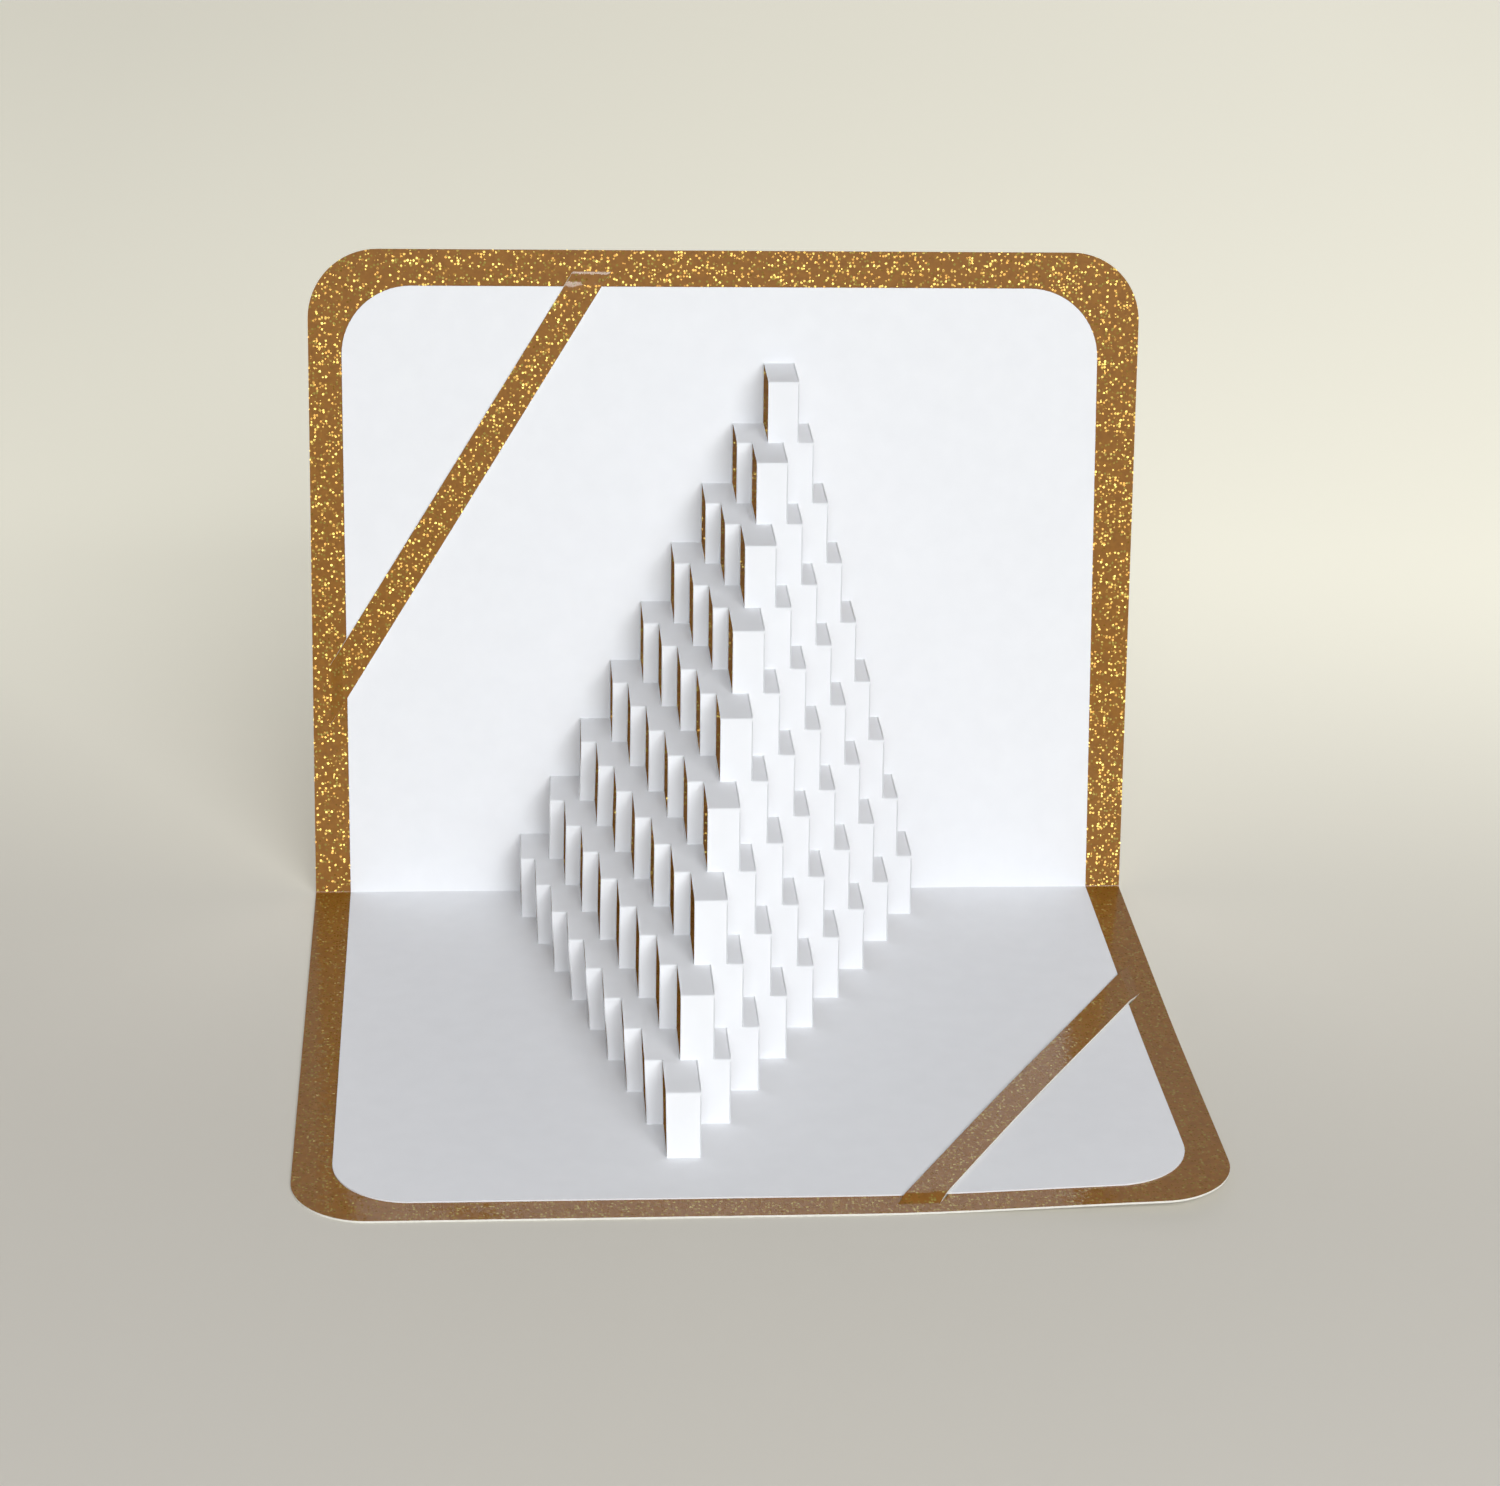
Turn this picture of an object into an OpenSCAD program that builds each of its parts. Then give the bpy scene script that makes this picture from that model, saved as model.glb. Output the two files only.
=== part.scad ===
// Pop-up card, standing open: a stiff backing card folded once, and a thin sheet that is cut and folded
// into a stepped, skewed half pyramid. Two opposite corners of the sheet are tucked under straps that are
// slit in the backing card.
// Millimetres. X runs along the fold, Y from front to back and Z up.
// The origin is the middle of the base panel's underside.

/* [Backing card] */
// Width of the card along its fold
card_w = 150; // [130:1:180]
// Length of each panel from the fold to its free edge
panel_len = 118.5; // [100:0.5:140]
// Thickness of the card
card_t = 0.35; // [0.2:0.05:0.6]
// Radius of the punched corners of both sheets
corner_r = 12.5; // [4:0.5:18]
// Angle between the base panel and the standing panel
open_angle = 100.5; // [90:0.5:125]
// Inside radius of the main fold
fold_r = 0.4; // [0.2:0.1:1]
// Width of the pressed band on each side of the main fold
crease_band = 0.4; // [0.2:0.1:1]
// How deep each face is pressed in along that band
crease_press = 0.03; // [0.02:0.01:0.05]

/* [Corner straps] */
// Width of a strap between its two slits
strap_w = 5.8; // [4:0.2:9]
// Distance from the sheet's corner to the strap along the free edge
strap_along = 40; // [30:1:50]
// Distance from the sheet's corner to the strap along the side edge
strap_down = 65; // [45:1:75]
// How far the slits run past the sheet's edges
slit_past = 2.6; // [1.5:0.1:4]
// Width of the cut that each slit leaves
slit_kerf = 0.1; // [0.05:0.05:0.3]
// Room left over the sheet's edge before a strap bends down
strap_land = 0.4; // [0.2:0.1:0.8]
// Room between a strap and the sheet under it
strap_gap = 0.05; // [0.02:0.01:0.2]

/* [Pop-up sheet] */
// Thickness of the sheet
sheet_t = 0.25; // [0.15:0.05:0.4]
// Border of backing card left at each side of the sheet
side_margin = 6; // [5:0.5:12]
// Border left above the sheet on the standing panel
top_margin = 6.4; // [5:0.2:12]
// Border left in front of the sheet on the base panel
front_margin = 5.2; // [5:0.2:12]
// How far the sheet sits off the card's middle, to the right
sheet_shift = -0.3; // [-0.6:0.1:0.6]
// Room between the sheet and the card behind it
sheet_gap = 0.03; // [0.01:0.01:0.1]

/* [Stepped pyramid] */
// Height of one step, measured up the standing panel
step_rise = 10.9; // [7:0.1:16]
// Depth of one step, measured along the base panel
step_run = 11.15; // [7:0.05:16]
// Width of one block in a row
block_w = 5.5; // [4:0.1:7]
// Offset of the pyramid from the card's middle, to the right
pyramid_shift = -1.5; // [-6:0.1:6]
// Least width of plain sheet left beyond the cuts
edge_land = 6; // [4:0.5:20]
// How far a panel runs in behind and beside the foot of a folded strip
foot_lip = 0.06; // [0.04:0.01:0.1]

/* [Hidden] */
$fn = 96;
eps = 1;

// The standing panel leans back by the angle past upright
lean = open_angle - 90;
// Where the two inner faces of the backing card meet, as [y, z]
card_fold = [panel_len / 2, card_t];

// The sheet's faces lie a little inside the card's, so its fold line moves inwards by the same rule
half_tan = tan(open_angle / 2);
sheet_face = sheet_gap + sheet_t;
fold_step = sheet_face / half_tan;
sheet_fold = card_fold + [-fold_step, sheet_face];
sheet_w = card_w - 2 * side_margin;
wall_edge = panel_len - top_margin;
base_edge = panel_len - front_margin;
wall_len = wall_edge - fold_step;
base_len = base_edge - fold_step;

// The bend takes up this much of each panel, and the full thickness starts beyond the pressed band
bend_len = fold_r / half_tan;
panel_start = bend_len + crease_band;

// Half a block is the finest column of the pattern
half_w = block_w / 2;
// Thickness of the sheet measured along a panel of the open card
skew_t = sheet_t / cos(lean);
// As many levels as leave the plain border all round
levels = floor(min(
    (wall_len - edge_land) / step_rise,
    (base_len - edge_land) / step_run,
    ((sheet_w - 2 * edge_land) / half_w + 1) / 3));
// The first and last half columns, counted from the left edge of the top block
first_col = -2 * (levels - 1);
last_col = levels;
cols = [first_col : last_col];
top_x = pyramid_shift - (last_col + 1 + first_col) * half_w / 2;
function col_x(c) = top_x + c * half_w;

// Steps that the riser of half column c stands in front of the standing panel, n rows below the top row.
// On the left each half column stands one step further out, and on the right one block stands out per row.
function reach(c, n) = c <= -n ? 2 * n + 1 + c : n + 1 - floor((c + n) / 2);
// The highest row that half column c takes part in
function top_row(c) = c < 0 ? ceil(-c / 2) : max(c - 1, 0);
function floor_cut(c) = reach(c, levels - 1) * step_run;
function wall_cut(c) = (levels - top_row(c)) * step_rise;

// Places a point that lies out along the base panel and up along the standing panel, as [y, z]
function skew(p) = sheet_fold + [p[1] * sin(lean) - p[0], p[1] * cos(lean)];
// Places a point of the base panel, given its distance from the fold and its height over the face
function on_base_at(fold, s, n) = fold + [-s, n];
// Places a point of the standing panel in the same way
function on_wall_at(fold, s, n) = fold + [s * sin(lean) - n * cos(lean), s * cos(lean) + n * sin(lean)];
function reversed(list) = [for (i = [len(list) - 1 : -1 : 0]) list[i]];

// Outer corners of the folded strip of half column c, from the base panel up to the standing panel
function strip_outer(c) = [
    for (n = [levels - 1 : -1 : top_row(c)], top = [0, 1])
        [reach(c, n), levels - 1 - n + top]
];
function strip_face(c) = [for (p = strip_outer(c)) [p[0] * step_run, p[1] * step_rise]];
// The strip runs half its thickness into both panels
function strip_front(c) = let (f = strip_face(c)) concat(
    [[f[0][0], -skew_t / 2]],
    [for (i = [1 : len(f) - 1]) f[i]],
    [[-skew_t / 2, wall_cut(c)]]);
function strip_back(c) = let (f = strip_face(c)) concat(
    [[f[0][0] - skew_t, -skew_t / 2]],
    [for (i = [1 : len(f) - 1]) f[i] - [skew_t, skew_t]],
    [[-skew_t / 2, wall_cut(c) - skew_t]]);

// Strap corners in the panel's plane: p from the sheet's side edge, q from its free edge
strap_dist = strap_along * strap_down / norm([strap_along, strap_down]);
function strap_end(e, past) = [strap_along * (e + past / strap_down), -past];
function strap_side(e, past) = [-past, strap_down * (e + past / strap_along)];
function corner_point(side, edge, v) = [sheet_shift + side * (sheet_w / 2 - v[0]), edge - v[1]];
function strap_quad(side, edge, past, inset) =
    let (near = 1 + inset / strap_dist)
    let (far = 1 + (strap_w - inset) / strap_dist)
    [for (v = [strap_end(near, past), strap_end(far, past), strap_side(far, past), strap_side(near, past)])
        corner_point(side, edge, v)];

// A panel's outline from the fold outwards, with the two corners at its free edge rounded
module panel_outline(w, start, length, r) {
    translate([-w / 2, start])
        square([w, length - r - start]);
    translate([r - w / 2, start])
        square([w - 2 * r, length - start]);
    for (side = [-1, 1])
        translate([side * (w / 2 - r), length - r])
            circle(r);
}

// Lays a flat panel, drawn in X and distance from the fold, down as the base
module lay_base(fold) {
    translate([0, fold[0], fold[1]])
        mirror([0, 1, 0])
            children();
}

// Stands a flat panel, drawn in X and distance from the fold, up as the wall
module stand_wall(fold) {
    translate([0, fold[0], fold[1]])
        rotate([90 - lean, 0, 0])
            children();
}

// Extrudes a profile drawn in Y and Z along the fold
module along_fold(x, w) {
    translate([x, 0, 0])
        rotate([90, 0, 90])
            linear_extrude(w)
                children();
}

// The pressed crease between two panels of thickness t, rooted inside both of them, from x0 to x1
module crease(fold, t, x0, x1) {
    root = panel_start + 4 * t;
    centre = on_base_at(fold, bend_len, fold_r);
    inner = fold_r + crease_press;
    outer = fold_r + t - crease_press;
    turn = [for (i = [0 : 1 / 8 : 1]) -90 + i * (90 - lean)];
    along_fold(x0 + slit_kerf, x1 - x0 - 2 * slit_kerf)
        polygon(concat(
            [on_base_at(fold, root, -crease_press)],
            [for (a = turn) centre + inner * [cos(a), sin(a)]],
            [on_wall_at(fold, root, -crease_press)],
            [on_wall_at(fold, root, crease_press - t)],
            [for (a = reversed(turn)) centre + outer * [cos(a), sin(a)]],
            [on_base_at(fold, root, crease_press - t)]));
}

// One strap, lifted over the sheet's corner and bent down to the card's plane beyond both edges
module strap(side, edge) {
    under = sheet_face + strap_gap;
    slope = [[strap_land, under], [slit_past, -card_t], [slit_past, 0], [strap_land, under + card_t]];
    side_edge = sheet_shift + side * sheet_w / 2;
    intersection() {
        translate([0, 0, -card_t])
            linear_extrude(under + 3 * card_t)
                polygon(strap_quad(side, edge, slit_past, slit_kerf));
        union() {
            translate([0, 0, under])
                linear_extrude(card_t)
                    polygon(strap_quad(side, edge, strap_land, -strap_w));
            along_fold(-card_w / 2, card_w)
                polygon([for (v = slope) [edge + v[0], v[1]]]);
            translate([0, panel_len, 0])
                rotate([90, 0, 0])
                    linear_extrude(panel_len)
                        polygon([for (v = slope) [side_edge + side * v[0], v[1]]]);
        }
    }
}

// One panel of the backing card, with the slot its strap was lifted from
module card_panel(side, edge) {
    difference() {
        translate([0, 0, -card_t])
            linear_extrude(card_t)
                panel_outline(card_w, panel_start, panel_len, corner_r);
        translate([0, 0, -card_t - eps])
            linear_extrude(card_t + 2 * eps)
                polygon(strap_quad(side, edge, slit_past, 0));
    }
    strap(side, edge);
}

module backing_card() color([0.60, 0.41, 0.17]) {
    lay_base(card_fold)
        card_panel(1, base_edge);
    stand_wall(card_fold)
        card_panel(-1, wall_edge);
    crease(card_fold, card_t, -card_w / 2, card_w / 2);
}

// Edge i of the opening in a panel, drawn in towards the column that is cut further
function cut_depth(cuts, i) = i < 0 || i >= len(cuts) ? 0 : cuts[i];
function cut_side(cuts, i) =
    col_x(first_col + i) + foot_lip * sign(cut_depth(cuts, i) - cut_depth(cuts, i - 1));

// One panel of the sheet, open where the strips are cut free and stand out
module sheet_panel(length, cuts) {
    translate([0, 0, -sheet_t])
        linear_extrude(sheet_t)
            difference() {
                translate([sheet_shift, 0])
                    panel_outline(sheet_w, panel_start, length, corner_r);
                polygon(concat(
                    [[cut_side(cuts, 0), -eps]],
                    [for (i = [0 : len(cuts) - 1], end = [0, 1])
                        [cut_side(cuts, i + end), cuts[i] - skew_t - foot_lip]],
                    [[cut_side(cuts, len(cuts)), -eps]]));
            }
}

module pop_up_sheet() color([0.95, 0.95, 0.94]) {
    left = sheet_shift - sheet_w / 2;
    right = sheet_shift + sheet_w / 2;
    lay_base(sheet_fold)
        sheet_panel(base_len, [for (c = cols) floor_cut(c)]);
    stand_wall(sheet_fold)
        sheet_panel(wall_len, [for (c = cols) wall_cut(c)]);
    crease(sheet_fold, sheet_t, left, col_x(first_col));
    crease(sheet_fold, sheet_t, col_x(last_col + 1), right);
    for (c = cols)
        along_fold(col_x(c), half_w)
            polygon([for (p = concat(strip_front(c), reversed(strip_back(c)))) skew(p)]);
}

backing_card();
pop_up_sheet();
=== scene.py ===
"""Looks of a pop-up card that stands open: a glitter backing card and a white sheet folded into steps.

Both pieces are thin sheets, so each is drawn flat first, in x along the main fold and v across it, and then
folded into place. The card's sizes and the camera's place are in millimetres, and a mesh is scaled to metres
when it is made. Sizes of the floor, the lamp and the materials' grain are in metres.
"""
import math
import random
from functools import lru_cache

import bpy
from mathutils import Matrix, Vector
from mathutils.geometry import delaunay_2d_cdt


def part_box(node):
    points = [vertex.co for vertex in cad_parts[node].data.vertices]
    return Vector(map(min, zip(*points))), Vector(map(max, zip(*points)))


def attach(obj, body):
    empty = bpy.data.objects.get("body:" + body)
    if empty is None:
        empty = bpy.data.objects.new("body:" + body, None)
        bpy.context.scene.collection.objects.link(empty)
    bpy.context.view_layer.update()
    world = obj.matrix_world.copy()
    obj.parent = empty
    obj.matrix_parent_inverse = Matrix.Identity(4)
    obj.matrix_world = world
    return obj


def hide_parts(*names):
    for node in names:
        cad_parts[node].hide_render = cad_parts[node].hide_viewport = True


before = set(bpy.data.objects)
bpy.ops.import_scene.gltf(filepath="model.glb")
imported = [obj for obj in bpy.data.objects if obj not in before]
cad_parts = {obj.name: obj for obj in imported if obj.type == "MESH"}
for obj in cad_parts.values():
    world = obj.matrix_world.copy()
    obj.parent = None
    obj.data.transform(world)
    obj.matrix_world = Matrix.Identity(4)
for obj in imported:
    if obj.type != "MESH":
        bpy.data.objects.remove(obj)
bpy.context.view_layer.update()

MM = 0.001

# Backing card, with its main sizes read from the frame
card_low, card_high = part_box("backing_card")
CARD_W = (card_high.x - card_low.x) / MM
PANEL_LEN = -2 * card_low.y / MM
CARD_T = 0.35
LEAN = math.acos((card_high.z / MM - CARD_T) / PANEL_LEN)
CORNER_R = 12.5
FOLD_R = 0.4
FOLD_TURN = math.pi / 2 - LEAN
HALF_TAN = math.tan((math.pi - FOLD_TURN) / 2)
BEND_LEN = FOLD_R / HALF_TAN
CARD_FOLD = (PANEL_LEN / 2, CARD_T)

# White sheet on the inner face of the card
SHEET_T = 0.25
SHEET_GAP = 0.03
SIDE_MARGIN = 6.0
TOP_MARGIN = 6.4
FRONT_MARGIN = 5.2
SHEET_SHIFT = -0.3
SHEET_W = CARD_W - 2 * SIDE_MARGIN
SHEET_FACE = SHEET_GAP + SHEET_T
FOLD_STEP = SHEET_FACE / HALF_TAN
SHEET_FOLD = (CARD_FOLD[0] - FOLD_STEP, CARD_FOLD[1] + SHEET_FACE)
WALL_EDGE = PANEL_LEN - TOP_MARGIN
BASE_EDGE = PANEL_LEN - FRONT_MARGIN
WALL_LEN = WALL_EDGE - FOLD_STEP
BASE_LEN = BASE_EDGE - FOLD_STEP
# The sheet was trimmed by hand: how far in its left and right edges lie, up to the fold and at the top
TRIM = {-1: (0.7, 0.2), 1: (0.1, 1.3)}

# Stepped half pyramid
STEP_RISE = 10.9
STEP_RUN = 11.15
BLOCK_W = 5.5
HALF_W = BLOCK_W / 2
PYRAMID_SHIFT = -1.5
LEVELS = 9
FIRST_COL = -2 * (LEVELS - 1)
LAST_COL = LEVELS
TOP_X = PYRAMID_SHIFT - (LAST_COL + 1 + FIRST_COL) * HALF_W / 2
# Radius of a step's folds at the middle of the sheet, and the length of each cell that it takes up
CREASE_R = 0.2
CREASE_LEN = CREASE_R * math.tan(FOLD_TURN / 2)
CREASE_STEPS = 4
# The most that a riser or tread bows out or in, and where along a cell its bow is drawn
CELL_BOW = 0.12
CELL_SHARES = (0.05, 0.25, 0.5, 0.75, 0.95)
# Each riser or tread draws its bow with a seed of its own, made from its place
SEED_PER_RUN = 1000
SEED_PER_RISE = 10
# The blade has left a raised lip along each cut
LIP_H = 0.3
LIP_W = 0.22
# The lowest terrace leans to the left, most of all halfway along the left foot of the steps, and the lean
# dies out over some rows above it
SWAY = 0.65
SWAY_FROM = -42.0
SWAY_TO = -9.0
SWAY_ROWS = 4

# Straps that hold two corners of the sheet
STRAP_W = 5.8
STRAP_ALONG = 40.0
STRAP_DOWN = 65.0
STRAP_DIST = STRAP_ALONG * STRAP_DOWN / math.hypot(STRAP_ALONG, STRAP_DOWN)
SLIT_PAST = 2.6
SLIT_KERF = 0.04
STRAP_GAP = 0.05
STRAP_LIFT = SHEET_FACE + STRAP_GAP + CARD_T
STRAP_BOW = 0.15
STRAP_EASE = 0.2

# The front right corner of the base has curled up from the floor
CURL_LIFT = 1.7
CURL_X = 15.0
CURL_Y = 10.0

# Fineness of the meshes
ARC_STEPS = 16
BORDER_COLS = 8
GRID_STEP = 6.0
STRAP_ROWS = 64
STRAP_COLS = 4
CARD_SHARP = math.radians(12)
SHEET_SHARP = math.radians(35)
# Grid points keep this far from the fold and from the rim, which have points of their own
FOLD_CLEAR = GRID_STEP / 3
RIM_CLEAR = GRID_STEP / 4
# Points nearer than this are one, and so are places that agree to this many decimals
NET_MERGE = 1e-5
CARD_DECIMALS = 3
SHEET_DECIMALS = 4


def smooth(t):
    """Eases from 0 to 1."""
    t = min(max(t, 0.0), 1.0)
    return t * t * (3 - 2 * t)


def curl(x, y):
    """How far the base has lifted at a place."""
    along = smooth((x - CURL_X) / (CARD_W / 2 - CURL_X))
    return CURL_LIFT * along * smooth((CURL_Y - y) / (CURL_Y + PANEL_LEN / 2))


def make_piece(name, points, faces, materials, face_materials, sharp, node):
    """A closed mesh that stands for a CAD node."""
    mesh = bpy.data.meshes.new(name)
    mesh.from_pydata([[MM * c for c in p] for p in points], [], faces)
    for material in materials:
        mesh.materials.append(material)
    mesh.polygons.foreach_set("material_index", face_materials)
    mesh.polygons.foreach_set("use_smooth", [True] * len(faces))
    mesh.set_sharp_from_angle(angle=sharp)
    piece = bpy.data.objects.new(name, mesh)
    bpy.context.scene.collection.objects.link(piece)
    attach(piece, "root")
    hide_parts(node)
    return piece


# Materials

def new_material(name):
    """A material, its node tree and its Principled shader."""
    material = bpy.data.materials.new(name)
    material.use_nodes = True
    tree = material.node_tree
    return material, tree, tree.nodes["Principled BSDF"]


def set_inputs(tree, node, inputs):
    """Sets each named input of a node to a value, or links it to a socket."""
    for key, value in inputs.items():
        if isinstance(value, bpy.types.NodeSocket):
            tree.links.new(value, node.inputs[key])
        else:
            node.inputs[key].default_value = value


def add_node(tree, kind, inputs=None, **settings):
    """A node with its settings and inputs."""
    node = tree.nodes.new(kind)
    for key, value in settings.items():
        setattr(node, key, value)
    set_inputs(tree, node, inputs or {})
    return node


def calc(tree, operation, first, second):
    """Result of a Math node."""
    return add_node(tree, "ShaderNodeMath", {0: first, 1: second}, operation=operation).outputs["Value"]


def vector_calc(tree, operation, *inputs, result="Vector"):
    """Result of a Vector Math node, with its inputs in order."""
    node = add_node(tree, "ShaderNodeVectorMath", dict(enumerate(inputs)), operation=operation)
    return node.outputs[result]


def map_range(tree, value, source, target=(0.0, 1.0), kind="LINEAR"):
    """Takes a value from one range to another, and holds it within that."""
    inputs = {"Value": value}
    inputs.update(zip(("From Min", "From Max"), source))
    inputs.update(zip(("To Min", "To Max"), target))
    return add_node(tree, "ShaderNodeMapRange", inputs, interpolation_type=kind).outputs["Result"]


def ramp(tree, factor, stops):
    """A colour ramp between two (place, colour) stops."""
    node = add_node(tree, "ShaderNodeValToRGB", {"Fac": factor})
    for element, (place, colour) in zip(node.color_ramp.elements, stops):
        element.position = place
        element.color = (*colour, 1.0)
    return node.outputs["Color"]


def mix_colours(tree, factor, first, second):
    """Goes from the first colour to the second as factor goes from 0 to 1."""
    node = add_node(tree, "ShaderNodeMix", {"Factor": factor}, data_type="RGBA")
    colour_inputs = [socket for socket in node.inputs if socket.type == "RGBA"]
    for socket, colour in zip(colour_inputs, (first, second)):
        tree.links.new(colour, socket)
    return next(socket for socket in node.outputs if socket.type == "RGBA")


def place_in_object(tree):
    return add_node(tree, "ShaderNodeTexCoord").outputs["Object"]


# Most of a noise lies between these values
NOISE_LOW = 0.3
NOISE_HIGH = 0.7


def noise(tree, place, scale, detail):
    node = add_node(tree, "ShaderNodeTexNoise", {"Vector": place, "Scale": scale, "Detail": detail})
    return node.outputs["Fac"]


def noise_tint(tree, value, dark, light):
    """Goes from dark to light with a noise."""
    return ramp(tree, value, [(NOISE_LOW, dark), (NOISE_HIGH, light)])


def bump_normal(tree, height, strength, depth):
    """Normal of a surface that is raised and sunk by a noise, at most by a depth in metres."""
    node = add_node(tree, "ShaderNodeBump", {"Height": height, "Strength": strength, "Distance": depth})
    return node.outputs["Normal"]


# Scales are per metre here and in the other materials
PAPER_CLOUD_SCALE = 260.0
PAPER_CLOUD_DETAIL = 4.0
PAPER_DARK = (0.885, 0.896, 0.918)
PAPER_LIGHT = (0.903, 0.914, 0.936)
PAPER_ROUGH = (0.72, 0.86)
PAPER_SHINE = 0.35
TOOTH_SCALE = 5200.0
TOOTH_DETAIL = 3.0
TOOTH_STRENGTH = 0.12
TOOTH_DEPTH = 0.00004


def white_paper():
    """Smooth bright card stock with a faint cloudy formation and a fine tooth."""
    material, tree, shader = new_material("white_paper")
    place = place_in_object(tree)
    cloud = noise(tree, place, PAPER_CLOUD_SCALE, PAPER_CLOUD_DETAIL)
    tooth = noise(tree, place, TOOTH_SCALE, TOOTH_DETAIL)
    set_inputs(tree, shader, {
        "Base Color": noise_tint(tree, cloud, PAPER_DARK, PAPER_LIGHT),
        "Normal": bump_normal(tree, tooth, TOOTH_STRENGTH, TOOTH_DEPTH),
        "Roughness": map_range(tree, cloud, (0.0, 1.0), PAPER_ROUGH),
        "Specular IOR Level": PAPER_SHINE})
    return material


FIBRE_SCALE = 900.0
FIBRE_DETAIL = 5.0
FIBRE_STRENGTH = 0.2
FIBRE_DEPTH = 0.00006
CORE_DARK = (0.80, 0.78, 0.70)
CORE_LIGHT = (0.88, 0.865, 0.80)
CORE_ROUGH = 0.85


def pale_core():
    """Uncoated pale stock: the cut edges and the back of the glitter card."""
    material, tree, shader = new_material("pale_card_core")
    fibre = noise(tree, place_in_object(tree), FIBRE_SCALE, FIBRE_DETAIL)
    set_inputs(tree, shader, {
        "Base Color": noise_tint(tree, fibre, CORE_DARK, CORE_LIGHT),
        "Normal": bump_normal(tree, fibre, FIBRE_STRENGTH, FIBRE_DEPTH),
        "Roughness": CORE_ROUGH})
    return material


FILM_SCALE = 900.0
FILM_DETAIL = 6.0
FILM_DARK = (0.25, 0.097, 0.007)
FILM_LIGHT = (0.316, 0.13, 0.011)
FILM_ROUGH = 0.45
FILM_SHINE = 0.2
# Places for flakes per metre, the share that holds one, and its radius as a share of a place
FLAKE_SCALE = 1900.0
FLAKE_SHARE = 0.6
FLAKE_RADIUS = 0.42
# Flakes lean up and a little to the right, each by its own amount within a spread
FLAKE_LEAN = (0.02, 0.0, 0.26)
FLAKE_SPREAD = (0.36, 0.30, 0.36)
# The share of the flakes that are as dark as the darkest
FLAKE_DARK_SHARE = 0.2
FLAKE_DARK = (0.30, 0.145, 0.014)
FLAKE_LIGHT = (0.52, 0.40, 0.080)
FLAKE_ROUGH = 0.16
FLAKE_METAL = 0.35
# The clear coat follows the flakes a little
COAT_RIPPLE = 0.035
COAT_WEIGHT = 0.8
COAT_ROUGH = 0.08


def leaning_normal(tree, lean):
    """The surface's normal, turned by a lean."""
    normal = add_node(tree, "ShaderNodeNewGeometry").outputs["Normal"]
    return vector_calc(tree, "NORMALIZE", vector_calc(tree, "ADD", normal, lean))


def glitter_gold():
    """Brown gold film with small bright flakes, each tilted its own way, under a clear coat."""
    material, tree, shader = new_material("glitter_gold")
    place = place_in_object(tree)
    flakes = add_node(tree, "ShaderNodeTexVoronoi", {"Vector": place, "Scale": FLAKE_SCALE})
    # Each place has three random numbers of its own
    draw = flakes.outputs["Color"]
    draws = add_node(tree, "ShaderNodeSeparateColor", {"Color": draw})
    held = calc(tree, "LESS_THAN", draws.outputs["Red"], FLAKE_SHARE)
    near = calc(tree, "LESS_THAN", flakes.outputs["Distance"], FLAKE_RADIUS)
    is_flake = calc(tree, "MULTIPLY", held, near)
    film = noise_tint(tree, noise(tree, place, FILM_SCALE, FILM_DETAIL), FILM_DARK, FILM_LIGHT)
    flake = ramp(tree, draws.outputs["Green"], [(FLAKE_DARK_SHARE, FLAKE_DARK), (1.0, FLAKE_LIGHT)])
    # The first number of a held flake is below the share of places, so its spread is widened to match
    spread = (FLAKE_SPREAD[0] / FLAKE_SHARE, *FLAKE_SPREAD[1:])
    least = [middle - width / 2 for middle, width in zip(FLAKE_LEAN, FLAKE_SPREAD)]
    lean = vector_calc(tree, "MULTIPLY_ADD", draw, spread, least)
    tilt = add_node(tree, "ShaderNodeVectorMath", {0: lean, "Scale": is_flake}, operation="SCALE")
    ripple = vector_calc(tree, "MULTIPLY_ADD", draw, [COAT_RIPPLE] * 3, [-COAT_RIPPLE / 2] * 3)
    set_inputs(tree, shader, {
        "Base Color": mix_colours(tree, is_flake, film, flake),
        "Metallic": calc(tree, "MULTIPLY", is_flake, FLAKE_METAL),
        "Roughness": map_range(tree, is_flake, (0.0, 1.0), (FILM_ROUGH, FLAKE_ROUGH)),
        "Normal": leaning_normal(tree, tilt.outputs["Vector"]),
        "Specular IOR Level": FILM_SHINE,
        "Coat Weight": COAT_WEIGHT,
        "Coat Roughness": COAT_ROUGH,
        "Coat Normal": leaning_normal(tree, ripple)})
    return material


# The floor goes from one colour to the other along a direction, and its far end is lifted to a pale backdrop
# by a glow: both are painted light, lighter towards the back
FLOOR_NEAR = (0.75, 0.72, 0.645)
FLOOR_FAR = (0.92, 0.90, 0.77)
FLOOR_FADE = (0.15, 1.0, 0.0)
FLOOR_FADE_FROM = -0.06
FLOOR_FADE_TO = 0.28
# That lift, painted light as well, grows from the left side to the right
FLOOR_LIFT_LEFT = 0.3
FLOOR_LIFT_RIGHT = 0.45
FLOOR_LEFT = -0.17
FLOOR_RIGHT = 0.29
# To the camera the floor is lifted all round as well by a painted glow, at distances where the lamp's light
# gives out
FLOOR_ROUND_FROM = 0.4
FLOOR_ROUND_TO = 0.9
FLOOR_ROUGH = 0.9
FLOOR_SHINE = 0.1


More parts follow.
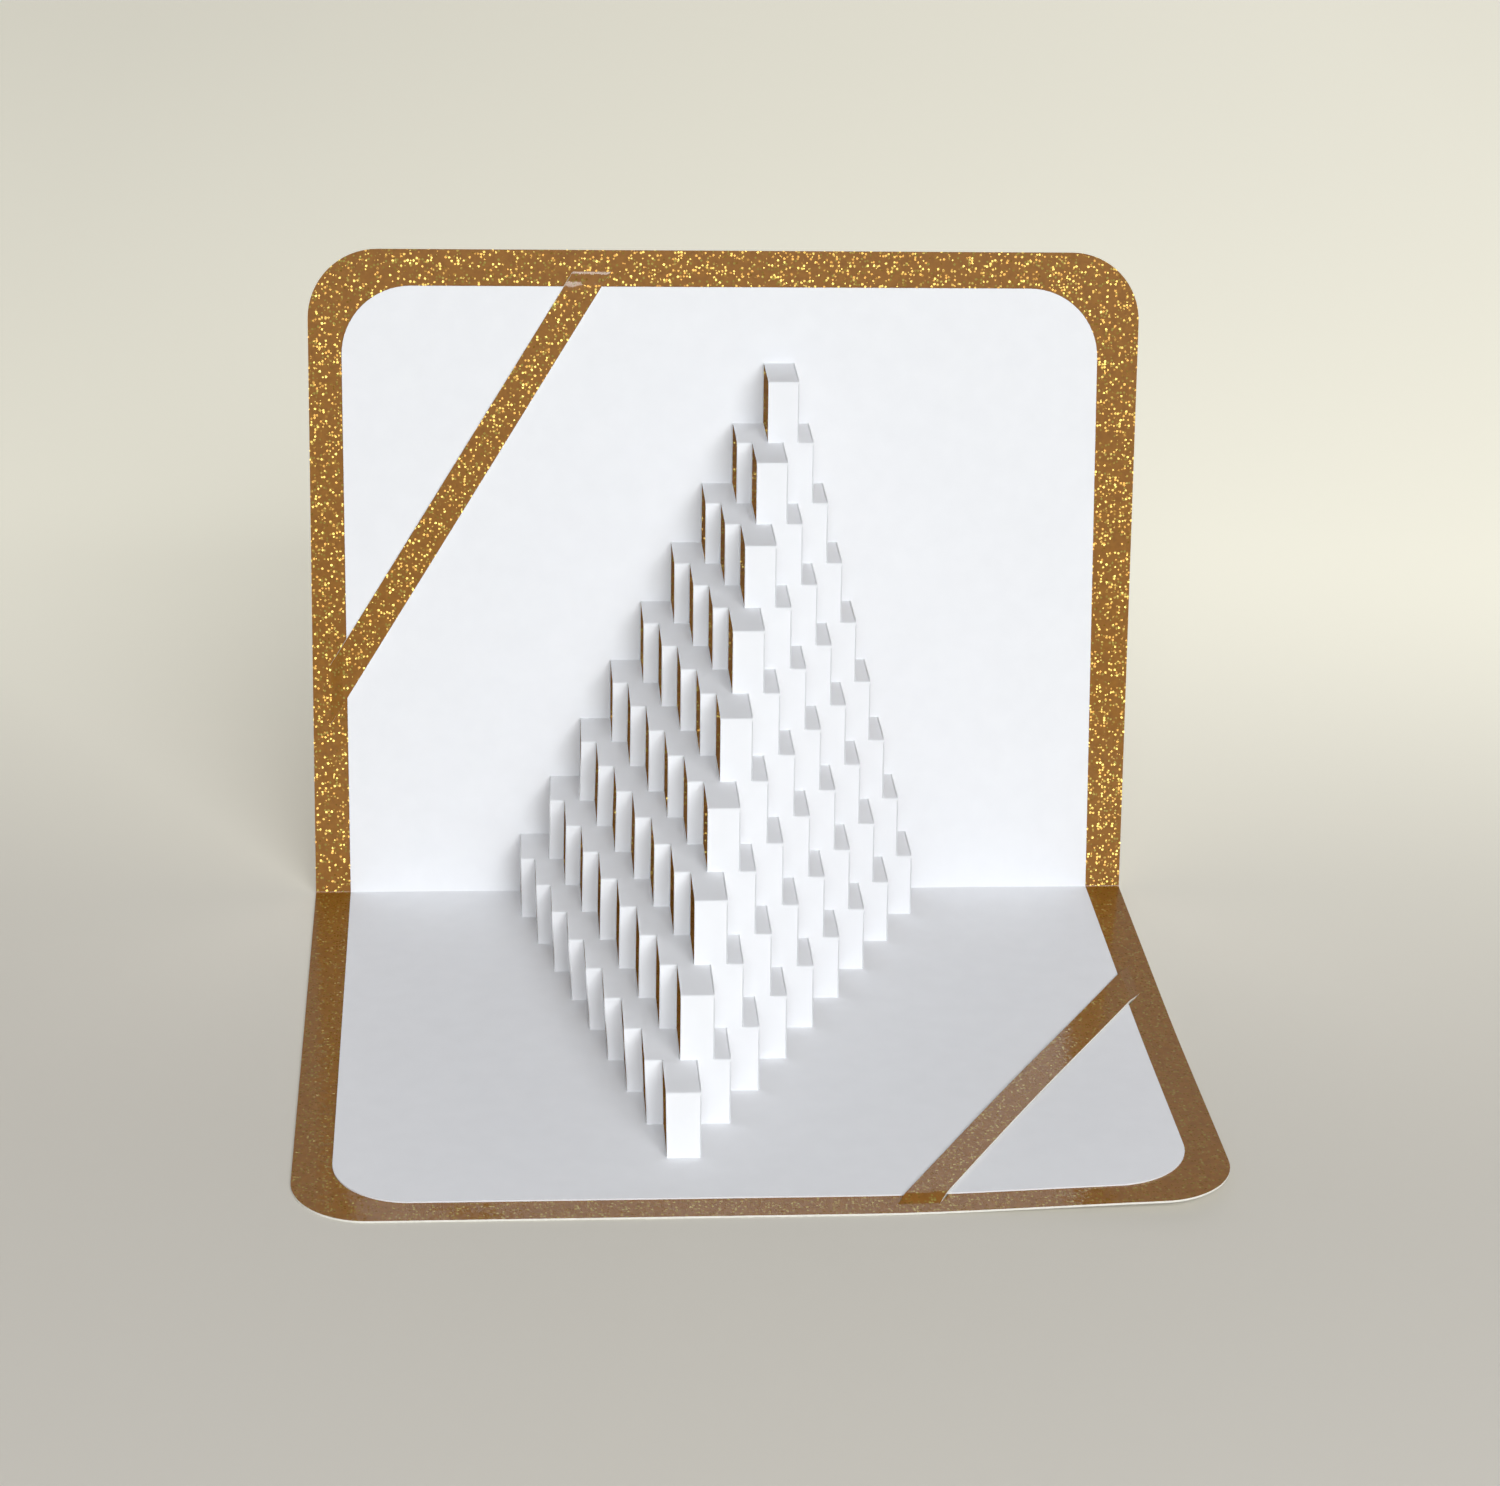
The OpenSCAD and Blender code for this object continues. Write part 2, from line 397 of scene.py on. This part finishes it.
def floor_paper():
    """Pale warm floor that grows lighter towards the back and the right, with painted light in its colour and
    in a glow that the camera and reflections see.
    """
    material, tree, shader = new_material("pale_floor")
    place = place_in_object(tree)
    depth = vector_calc(tree, "DOT_PRODUCT", place, FLOOR_FADE, result="Value")
    far = map_range(tree, depth, (FLOOR_FADE_FROM, FLOOR_FADE_TO), kind="SMOOTHSTEP")
    distance = vector_calc(tree, "LENGTH", place, result="Value")
    outer = map_range(tree, distance, (FLOOR_ROUND_FROM, FLOOR_ROUND_TO), kind="SMOOTHSTEP")
    across = add_node(tree, "ShaderNodeSeparateXYZ", {"Vector": place}).outputs["X"]
    lift = map_range(tree, across, (FLOOR_LEFT, FLOOR_RIGHT), (FLOOR_LIFT_LEFT, FLOOR_LIFT_RIGHT))
    ray = add_node(tree, "ShaderNodeLightPath").outputs
    seen = calc(tree, "MAXIMUM", ray["Is Camera Ray"], ray["Is Glossy Ray"])
    far_seen = calc(tree, "MULTIPLY", seen, far)
    outer_seen = calc(tree, "MULTIPLY", ray["Is Camera Ray"], outer)
    either_seen = calc(tree, "MAXIMUM", far_seen, outer_seen)
    # Painted light: the colour and the glow both grow lighter towards the back and the right
    tint = ramp(tree, far, [(0.0, FLOOR_NEAR), (1.0, FLOOR_FAR)])
    set_inputs(tree, shader, {
        "Base Color": tint,
        "Roughness": FLOOR_ROUGH,
        "Specular IOR Level": FLOOR_SHINE,
        "Emission Color": tint,
        "Emission Strength": calc(tree, "MULTIPLY", either_seen, lift)})
    return material


# Backing card

def on_card(x, v, n):
    """Folds a point of the flat card into place. n is its height over the inner face."""
    y0, z0 = CARD_FOLD
    if v <= -BEND_LEN:
        y, z = y0 + v, z0 + n
    elif v >= BEND_LEN:
        y = y0 + v * math.sin(LEAN) - n * math.cos(LEAN)
        z = z0 + v * math.cos(LEAN) + n * math.sin(LEAN)
    else:
        turn = (v + BEND_LEN) / (2 * BEND_LEN) * FOLD_TURN
        y = y0 - BEND_LEN + (FOLD_R - n) * math.sin(turn)
        z = z0 + FOLD_R - (FOLD_R - n) * math.cos(turn)
    return x, y, z + curl(x, y)


def corner_inset(to_end):
    """How far a rounded corner draws the side edge in, at a distance from the free edge."""
    rest = max(CORNER_R - to_end, 0.0)
    return CORNER_R - math.sqrt(max(CORNER_R ** 2 - rest ** 2, 0.0))


def corner_rows():
    """Distances from the free edge at which a rounded corner is drawn."""
    return [CORNER_R * (1 - math.cos(i / ARC_STEPS * math.pi / 2)) for i in range(ARC_STEPS + 1)]


def card_outline():
    """The flat card's outline, anticlockwise from its front right corner."""
    right = [(CARD_W / 2 - corner_inset(d), -PANEL_LEN + d) for d in corner_rows()]
    right += [(x, -v) for x, v in reversed(right)]
    return right + [(-x, v) for x, v in reversed(right)]


def in_short_steps(loop):
    """The same closed outline with no step longer than the grid's, so that it can follow the curl."""
    steps = []
    for (x0, v0), (x1, v1) in zip(loop, loop[1:] + loop[:1]):
        count = math.ceil(math.hypot(x1 - x0, v1 - v0) / GRID_STEP) or 1
        steps += [(x0 + (x1 - x0) * i / count, v0 + (v1 - v0) * i / count) for i in range(count)]
    return steps


def eased(t):
    """Goes from 0 to 1 in a straight ramp with rounded ends."""
    t = min(max(t, 0.0), 1.0)
    if t > 0.5:
        return 1 - eased(1 - t)
    if t < STRAP_EASE:
        return t * t / (2 * STRAP_EASE * (1 - STRAP_EASE))
    return (t - STRAP_EASE / 2) / (1 - STRAP_EASE)


class Strap:
    """A strap across one corner of the sheet, between two slits: side is 1 at right, panel -1 on the base."""

    def __init__(self, side, panel, edge):
        self.side = side
        self.panel = panel
        self.edge = edge

    def from_corner(self, along, inset):
        """A place by the sheet's side and free edges: along from 0 to 1, inset from the outer slit."""
        scale = 1 + inset / STRAP_DIST
        start = (STRAP_ALONG * (scale + SLIT_PAST / STRAP_DOWN), -SLIT_PAST)
        end = (-SLIT_PAST, STRAP_DOWN * (scale + SLIT_PAST / STRAP_ALONG))
        return [a + (b - a) * along for a, b in zip(start, end)]

    def flat(self, along, inset):
        """The same place in the flat card."""
        p, q = self.from_corner(along, inset)
        return SHEET_SHIFT + self.side * (SHEET_W / 2 - p), self.panel * (self.edge - q)

    def lift(self, along, inset):
        """Height over the card: up over the sheet, and down again beyond its edges."""
        beyond = -min(self.from_corner(along, inset))
        over = eased((SLIT_PAST - beyond) / SLIT_PAST)
        return over * (STRAP_LIFT + STRAP_BOW * math.sin(math.pi * along) ** 2)

    def insets(self):
        """Places across the strap, from slit to slit."""
        return [SLIT_KERF + (STRAP_W - 2 * SLIT_KERF) * i / STRAP_COLS for i in range(STRAP_COLS + 1)]

    def opening(self):
        """Outline of the band that both slits cut free, with the strap's own points at its ends."""
        across = [0.0, *self.insets(), STRAP_W]
        return [self.flat(0, i) for i in across] + [self.flat(1, i) for i in reversed(across)]

    def holds(self, x, v):
        """Whether a flat place lies in the band."""
        if v * self.panel < 0:
            return False
        p = SHEET_W / 2 - self.side * (x - SHEET_SHIFT)
        q = self.edge - v * self.panel
        inset = (p / STRAP_ALONG + q / STRAP_DOWN - 1) * STRAP_DIST
        return 0 < inset < STRAP_W and min(p, q) > -SLIT_PAST


STRAPS = [Strap(1, -1, BASE_EDGE), Strap(-1, 1, WALL_EDGE)]


def inside_card(x, v, margin=0.0):
    """Whether a flat place lies on the card, a margin in from its edges."""
    to_end = PANEL_LEN - abs(v)
    return to_end > margin and abs(x) < CARD_W / 2 - corner_inset(to_end) - margin


def card_panel_net():
    """The flat card without its straps, as points and triangles."""
    points = []
    edges = []

    def add_loop(loop):
        first = len(points)
        loop = in_short_steps(loop)
        points.extend(loop)
        edges.extend((first + i, first + (i + 1) % len(loop)) for i in range(len(loop)))

    add_loop(card_outline())
    for strap in STRAPS:
        add_loop(strap.opening())
    cols = round(CARD_W / GRID_STEP)
    for v in (BEND_LEN * (i / CREASE_STEPS - 1) for i in range(2 * CREASE_STEPS + 1)):
        first = len(points)
        points.extend((CARD_W * (i / cols - 0.5), v) for i in range(cols + 1))
        edges.extend((first + i, first + i + 1) for i in range(cols))
    rows = round(2 * PANEL_LEN / GRID_STEP)
    for i in range(1, cols):
        for j in range(rows + 1):
            x, v = CARD_W * (i / cols - 0.5), PANEL_LEN * (2 * j / rows - 1)
            clear = abs(v) > FOLD_CLEAR and inside_card(x, v, RIM_CLEAR)
            if clear and not any(s.holds(x, v) for s in STRAPS):
                points.append((x, v))
    found = delaunay_2d_cdt([Vector(p) for p in points], edges, [], 0, NET_MERGE, False)
    net = [tuple(p) for p in found[0]]
    triangles = []
    for face in found[2]:
        x, v = (sum(net[i][k] for i in face) / 3 for k in range(2))
        if inside_card(x, v) and not any(s.holds(x, v) for s in STRAPS):
            triangles.append(tuple(face))
    return net, triangles


def card_net():
    """The whole flat card: places (x, v, height over the inner face) and faces, wound to face inwards."""
    places = {}

    def index(x, v, lift):
        key = (round(x, CARD_DECIMALS), round(v, CARD_DECIMALS))
        return places.setdefault(key, (len(places), (x, v, lift)))[0]

    net, triangles = card_panel_net()
    faces = [[index(*net[i], 0.0) for i in face] for face in triangles]
    for strap in STRAPS:
        rows = [(1 - math.cos(math.pi * i / STRAP_ROWS)) / 2 for i in range(STRAP_ROWS + 1)]
        grid = [[index(*strap.flat(u, w), strap.lift(u, w)) for w in strap.insets()] for u in rows]
        for low, high in zip(grid, grid[1:]):
            for i in range(STRAP_COLS):
                faces.append([low[i], low[i + 1], high[i + 1], high[i]])
    flat = [place for _, place in sorted(places.values())]
    wound = []
    for face in faces:
        (x0, v0), (x1, v1), (x2, v2) = (flat[i][:2] for i in face[:3])
        turns_left = (x1 - x0) * (v2 - v0) > (v1 - v0) * (x2 - x0)
        wound.append(face if turns_left else face[::-1])
    return flat, wound


def backing_card():
    """The folded card: its gold face, its pale back and the cut edges between them."""
    flat, faces = card_net()
    count = len(flat)
    points = [on_card(x, v, lift) for x, v, lift in flat]
    points += [on_card(x, v, lift - CARD_T) for x, v, lift in flat]
    back = [[i + count for i in reversed(face)] for face in faces]
    sides = {(a, b) for face in faces for a, b in zip(face, face[1:] + face[:1])}
    rims = [[b, a, a + count, b + count] for a, b in sorted(sides) if (b, a) not in sides]
    face_materials = [0] * len(faces) + [1] * (len(back) + len(rims))
    return make_piece("folded_backing_card", points, faces + back + rims, [glitter_gold(), pale_core()],
                      face_materials, CARD_SHARP, "backing_card")


# Pop-up sheet

def reach(col, row):
    """Steps that a half column's riser stands out from the standing panel, in a row counted from the top."""
    if col <= -row:
        return 2 * row + 1 + col
    return row + 1 - (col + row) // 2


def top_row(col):
    """The highest row that a half column takes part in."""
    return -(col // 2) if col < 0 else max(col - 1, 0)


def strip_steps(col):
    """A half column's way over the steps, or along both panels beside them, as (run, rise) counts."""
    corners = [(LEVELS, 0)]
    if FIRST_COL <= col <= LAST_COL:
        for row in range(LEVELS - 1, top_row(col) - 1, -1):
            corners += [(reach(col, row), LEVELS - 1 - row), (reach(col, row), LEVELS - row)]
        corners.append((0, LEVELS - top_row(col)))
    else:
        corners.append((0, 0))
    corners.append((0, LEVELS))
    way = corners[:1]
    for run, rise in corners[1:]:
        while way[-1] != (run, rise):
            last_run, last_rise = way[-1]
            way.append((last_run - 1, last_rise) if last_run > run else (last_run, last_rise + 1))
    return way


def on_steps(run, rise):
    """Middle of the sheet at a lattice place, in y and z."""
    half = SHEET_T / math.cos(LEAN) / 2
    out, up = run * STEP_RUN - half, rise * STEP_RISE - half
    return Vector((SHEET_FOLD[0] - out + up * math.sin(LEAN), SHEET_FOLD[1] + up * math.cos(LEAN)))


def heading(angle):
    """Unit vector in y and z."""
    return Vector((math.cos(angle), math.sin(angle)))


@lru_cache(None)
def cell_bow(run, rise, upright):
    """How far one riser or tread bows, the same for every half column that it spans."""
    if (upright and run == 0) or (not upright and rise == 0):
        return 0.0
    seed = run * SEED_PER_RUN + rise * SEED_PER_RISE + upright
    return CELL_BOW * random.Random(seed).uniform(-1, 1)


def crease_samples(point, angle_in, angle_out, v):
    """Samples round one fold, between the straight stretches before and after it."""
    if angle_in == angle_out:
        return [(point, angle_in, v, 0.0)]
    side = 1 if angle_out > angle_in else -1
    start = point - CREASE_LEN * heading(angle_in)
    centre = start + side * CREASE_R * heading(angle_in + math.pi / 2)
    samples = []
    for i in range(1, CREASE_STEPS):
        angle = angle_in + (angle_out - angle_in) * i / CREASE_STEPS
        samples.append((centre - side * CREASE_R * heading(angle + math.pi / 2), angle, v, 0.0))
    return samples


def strip_samples(col):
    """Samples (middle of the sheet in y and z, heading, flat place v, lip) from front edge to top edge."""
    way = strip_steps(col)
    upright = math.pi / 2 - LEAN
    samples = []
    for d in corner_rows():
        if d < BASE_LEN - LEVELS * STEP_RUN - CREASE_LEN:
            samples.append((on_steps((BASE_LEN - d) / STEP_RUN, 0), 0.0, d - BASE_LEN, 0.0))
    last_angle = 0.0
    for i, (run, rise) in enumerate(way):
        v = rise * STEP_RISE - run * STEP_RUN
        ends = i == len(way) - 1
        next_angle = upright if ends or way[i + 1][0] == run else 0.0
        here = on_steps(run, rise)
        if i == 0:
            samples.append((here - CREASE_LEN * heading(last_angle), last_angle, v - CREASE_LEN, 0.0))
        samples += crease_samples(here, last_angle, next_angle, v)
        samples.append((here + CREASE_LEN * heading(next_angle), next_angle, v + CREASE_LEN, 0.0))
        last_angle = next_angle
        if ends:
            break
        length = STEP_RISE if next_angle else STEP_RUN
        bow = cell_bow(run, rise, bool(next_angle))
        for share in CELL_SHARES:
            off = bow * math.sin(math.pi * share) ** 2 * heading(next_angle + math.pi / 2)
            place = here + share * length * heading(next_angle) + off
            samples.append((place, next_angle, v + share * length, LIP_H))
        before = length - CREASE_LEN
        samples.append((here + before * heading(next_angle), next_angle, v + before, 0.0))
    for d in reversed(corner_rows()):
        if d < WALL_LEN - LEVELS * STEP_RISE - CREASE_LEN:
            samples.append((on_steps(0, (WALL_LEN - d) / STEP_RISE), upright, WALL_LEN - d, 0.0))
    return samples


def sheet_lines():
    """The lines between half columns, each as (fixed x, share of the way to the outer edge, side)."""
    left_x, right_x = TOP_X + FIRST_COL * HALF_W, TOP_X + (LAST_COL + 1) * HALF_W
    shares = [1 - i / BORDER_COLS for i in range(BORDER_COLS)]
    lines = [(left_x, share, -1) for share in shares]
    lines += [(TOP_X + c * HALF_W, 0.0, 1) for c in range(FIRST_COL, LAST_COL + 2)]
    return lines + [(right_x, share, 1) for share in reversed(shares)]


def line_x(line, v):
    """Where a line runs at flat place v: the outer lines follow the rounded corners."""
    fixed, share, side = line
    low_trim, top_trim = TRIM[side]
    trim = low_trim + (top_trim - low_trim) * max(v, 0.0) / WALL_LEN
    edge = SHEET_SHIFT + side * (SHEET_W / 2 - trim - corner_inset(min(BASE_LEN + v, WALL_LEN - v)))
    return fixed + (edge - fixed) * share


def sway(x, place):
    """How far a point of the lowest steps leans along x. They lean to the left, so it is below zero."""
    up = (place.y - SHEET_FOLD[1]) / math.cos(LEAN)
    out = SHEET_FOLD[0] - place.x + up * math.sin(LEAN)
    along = min(max((x - SWAY_FROM) / (SWAY_TO - SWAY_FROM), 0.0), 1.0)
    rise = up / STEP_RISE
    upward = smooth(rise) * smooth((SWAY_ROWS - rise) / (SWAY_ROWS - 1))
    return -SWAY * math.sin(math.pi * along) ** 2 * upward * smooth(out / STEP_RUN)


def rounded(place):
    return tuple(round(c, SHEET_DECIMALS) for c in place)


def sheet_faces(columns):
    """Faces over the rails of every strip: its two sides, its cut edges, and its front and top ends."""
    left_edges = {pair for front, _ in columns for pair in zip(front[0], front[0][1:])}
    right_edges = {pair for front, _ in columns for pair in zip(front[-1], front[-1][1:])}
    faces = []
    for front, back in columns:
        left, left_back, right, right_back = front[0], back[0], front[-1], back[-1]
        for k in range(len(left) - 1):
            n = k + 1
            for a, b in zip(front, front[1:]):
                faces.append([a[k], b[k], b[n], a[n]])
            for a, b in zip(back, back[1:]):
                faces.append([a[k], a[n], b[n], b[k]])
            if (left[k], left[n]) not in right_edges:
                faces.append([left[k], left[n], left_back[n], left_back[k]])
            if (right[k], right[n]) not in left_edges:
                faces.append([right[k], right_back[k], right_back[n], right[n]])
        for i in range(len(front) - 1):
            faces.append([front[i][0], back[i][0], back[i + 1][0], front[i + 1][0]])
            faces.append([front[i][-1], front[i + 1][-1], back[i + 1][-1], back[i][-1]])
    return faces


def pop_up_sheet():
    """The white sheet, as strips from its front edge to its top that are joined where they aren't cut."""
    lines = sheet_lines()
    strips = [strip_samples(FIRST_COL + j - BORDER_COLS) for j in range(len(lines) - 1)]
    corners = [{rounded(sample[0]) for sample in samples} for samples in strips]
    index = {}
    points = []

    def vertex(line_key, x, sample, face, lip):
        place, angle = sample[:2]
        place = place + (face * SHEET_T / 2 + lip) * heading(angle + math.pi / 2)
        key = (line_key, face, rounded(place))
        if key not in index:
            index[key] = len(points)
            points.append((x + sway(x, place), place.x, place.y + curl(x, place.x)))
        return index[key]

    def edge_rail(line_no, samples, neighbour, face):
        """Vertices along one side of a strip, raised where it is cut free of its neighbour."""
        rail = []
        for sample in samples:
            place, _, v, lip = sample
            joined = neighbour is None or rounded(place) in neighbour
            rail.append(vertex(line_no, line_x(lines[line_no], v), sample, face, 0.0 if joined else lip))
        return rail

    def inner_rail(strip_no, side, samples, face):
        """Vertices a lip's width in from one side of a strip."""
        rail = []
        for sample in samples:
            left, right = (line_x(lines[strip_no + i], sample[2]) for i in (0, 1))
            x = left + LIP_W if side == "left" else right - LIP_W
            rail.append(vertex((strip_no, side), x, sample, face, 0.0))
        return rail

    columns = []
    for j, samples in enumerate(strips):
        before = corners[j - 1] if j else None
        after = corners[j + 1] if j + 1 < len(strips) else None
        sheets = []
        for face in (1, -1):
            sheets.append([
                edge_rail(j, samples, before, face),
                inner_rail(j, "left", samples, face),
                inner_rail(j, "right", samples, face),
                edge_rail(j + 1, samples, after, face)])
        columns.append(sheets)
    faces = sheet_faces(columns)
    return make_piece("folded_pop_up_sheet", points, faces, [white_paper()], [0] * len(faces),
                      SHEET_SHARP, "pop_up_sheet")


# Floor, light and camera

FLOOR_SIZE = 8.0
FLOOR_DROP = 0.00004
# The room is a little cooler in front of the card than above and behind it, most of all from this cosine on
ROOM_FRONT_FROM = 0.8
ROOM_FRONT = (0.95, 0.985, 1.04)
ROOM_BACK = (1.0, 0.965, 0.955)
ROOM_LEVEL = 0.22
# Low behind the card it is brighter, between these cosines, which lights the card's back
ROOM_BEHIND = 1.7
ROOM_BEHIND_FROM = 0.6
ROOM_BEHIND_TO = 0.95
# Mirrored in the clear coat, and seen beyond the floor, the room is pale
ROOM_MIRRORED = 0.27
ROOM_SEEN = 0.8
KEY_AZIMUTH = math.radians(10)
KEY_ELEVATION = math.radians(30)
KEY_DISTANCE = 1.2
KEY_WIDTH = 0.9
KEY_HEIGHT = 0.5
KEY_LEVEL = 0.825
# Its light keeps to a cone, which spares the floor in front of it, and its power is cut to match
KEY_SPREAD = math.radians(76)
KEY_SHARE = 0.214
KEY_COLOUR = (0.97, 0.985, 1.0)
CAMERA_PLACE = Vector((-45.9, -547.9, 289.1)) * MM
CAMERA_AIM = Vector((-0.24, 0.0, 55.37)) * MM
CAMERA_ROLL = math.radians(1.587)
CAMERA_LENS = 86.67
CAMERA_NEAR = 0.01
SENSOR_W = 36.0


def set_floor():
    mesh = bpy.data.meshes.new("floor")
    half = FLOOR_SIZE / 2
    corners = [(x, y, -FLOOR_DROP) for x, y in ((-half, -half), (half, -half), (half, half), (-half, half))]
    mesh.from_pydata(corners, [], [(0, 1, 2, 3)])
    mesh.materials.append(floor_paper())
    floor = bpy.data.objects.new("floor", mesh)
    bpy.context.scene.collection.objects.link(floor)


def set_room():
    """Soft light from all round, which depends on the way it comes from."""
    world = bpy.data.worlds.new("soft_room")
    world.use_nodes = True
    tree = world.node_tree
    way = add_node(tree, "ShaderNodeTexCoord").outputs["Generated"]
    front = vector_calc(tree, "DOT_PRODUCT", way, (0.0, -1.0, 0.0), result="Value")
    behind = vector_calc(tree, "DOT_PRODUCT", way, (0.0, 1.0, 0.0), result="Value")
    level = map_range(
        tree, behind, (ROOM_BEHIND_FROM, ROOM_BEHIND_TO), (ROOM_LEVEL, ROOM_BEHIND), "SMOOTHSTEP")
    ray = add_node(tree, "ShaderNodeLightPath").outputs
    mirrored = map_range(tree, ray["Is Glossy Ray"], (0.0, 1.0), (level, ROOM_MIRRORED))
    set_inputs(tree, tree.nodes["Background"], {
        "Color": ramp(tree, front, [(0.0, ROOM_BACK), (ROOM_FRONT_FROM, ROOM_FRONT)]),
        "Strength": map_range(tree, ray["Is Camera Ray"], (0.0, 1.0), (mirrored, ROOM_SEEN))})
    bpy.context.scene.world = world


def set_key_lamp():
    lamp = bpy.data.lights.new("key", "AREA")
    lamp.shape = "RECTANGLE"
    lamp.size = KEY_WIDTH
    lamp.size_y = KEY_HEIGHT
    lamp.color = KEY_COLOUR
    lamp.spread = KEY_SPREAD
    # At this power a white surface that faces the lamp renders at the key level
    lamp.energy = KEY_LEVEL * KEY_SHARE * (math.pi * KEY_DISTANCE) ** 2
    key = bpy.data.objects.new("key", lamp)
    towards = Vector((
        math.sin(KEY_AZIMUTH) * math.cos(KEY_ELEVATION),
        -math.cos(KEY_AZIMUTH) * math.cos(KEY_ELEVATION),
        math.sin(KEY_ELEVATION)))
    key.location = towards * KEY_DISTANCE
    key.rotation_euler = (-towards).to_track_quat("-Z", "Y").to_euler()
    bpy.context.scene.collection.objects.link(key)


def set_camera():
    lens = bpy.data.cameras.new("camera")
    lens.sensor_width = SENSOR_W
    lens.lens = CAMERA_LENS
    lens.clip_start = CAMERA_NEAR
    camera = bpy.data.objects.new("camera", lens)
    turn = (CAMERA_AIM - CAMERA_PLACE).to_track_quat("-Z", "Y").to_matrix().to_4x4()
    roll = Matrix.Rotation(CAMERA_ROLL, 4, "Z")
    camera.matrix_world = Matrix.Translation(CAMERA_PLACE) @ turn @ roll
    bpy.context.scene.collection.objects.link(camera)
    bpy.context.scene.camera = camera


bpy.context.scene.view_settings.view_transform = "Standard"
set_camera()
set_room()
set_key_lamp()
set_floor()
backing_card()
pop_up_sheet()
